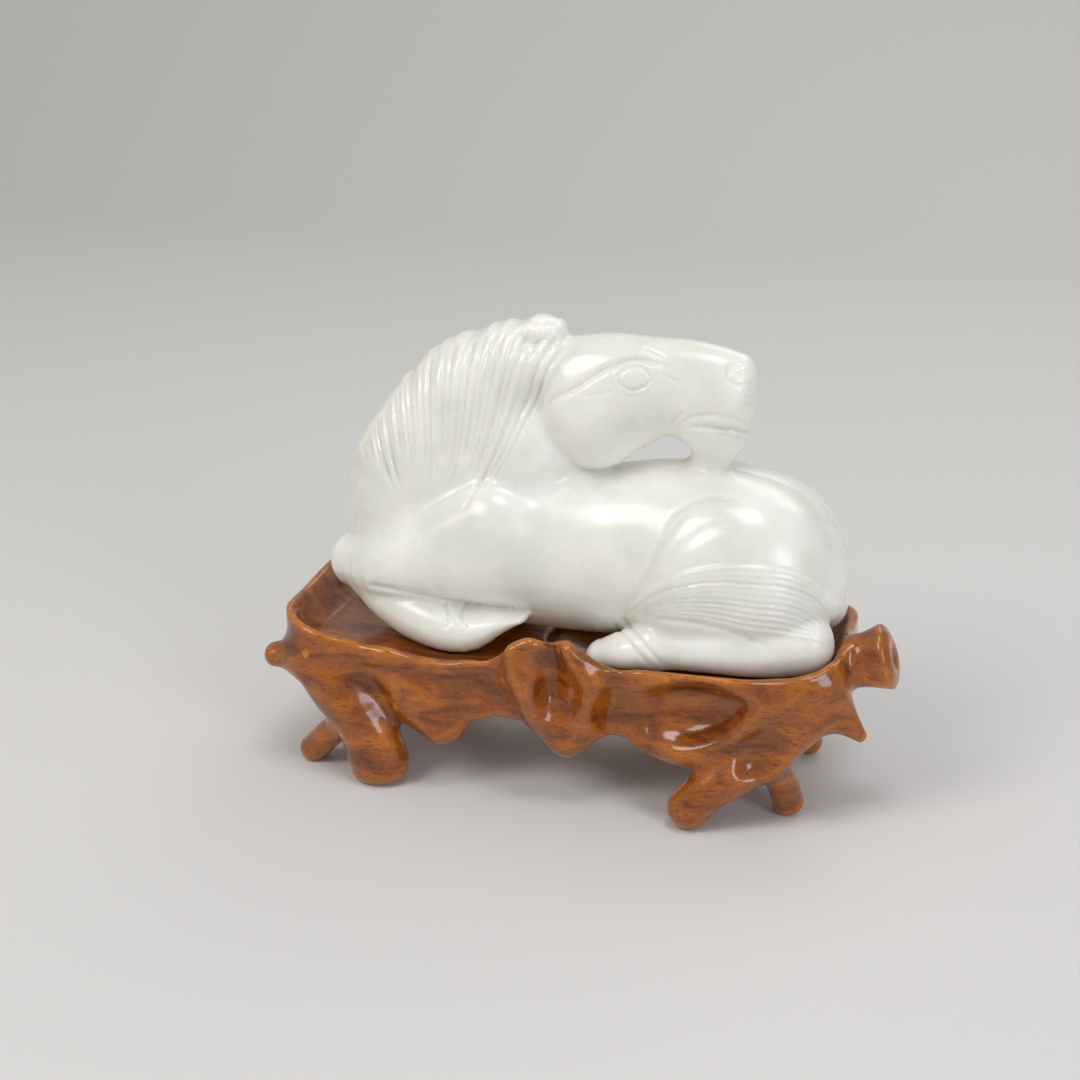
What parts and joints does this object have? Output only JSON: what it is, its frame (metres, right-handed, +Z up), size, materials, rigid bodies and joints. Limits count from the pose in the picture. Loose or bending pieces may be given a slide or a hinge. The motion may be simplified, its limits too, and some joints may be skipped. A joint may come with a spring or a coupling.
{
  "type": "jade horse carving on a carved wood stand",
  "caption": "Pale jade carving of a lying horse with its head turned back over its rump, resting in a root-form carved hardwood tray stand on forked feet.",
  "frame": {"origin": "on the ground, under the middle of the box around the stand and horse", "axes": "+X along the length, from the horse's chest to its rump; +Z up; -Y is the side that shows the near flank and the near side of the head"},
  "size_m": [0.1184, 0.0516, 0.0878],
  "materials": {
    "jade": "polished, slightly translucent pale nephrite",
    "hardwood": "glossy lacquered reddish-brown hardwood"
  },
  "bodies": {
    "root": {"jade_horse": "jade", "wood_stand": "hardwood"}
  },
  "joints": []
}
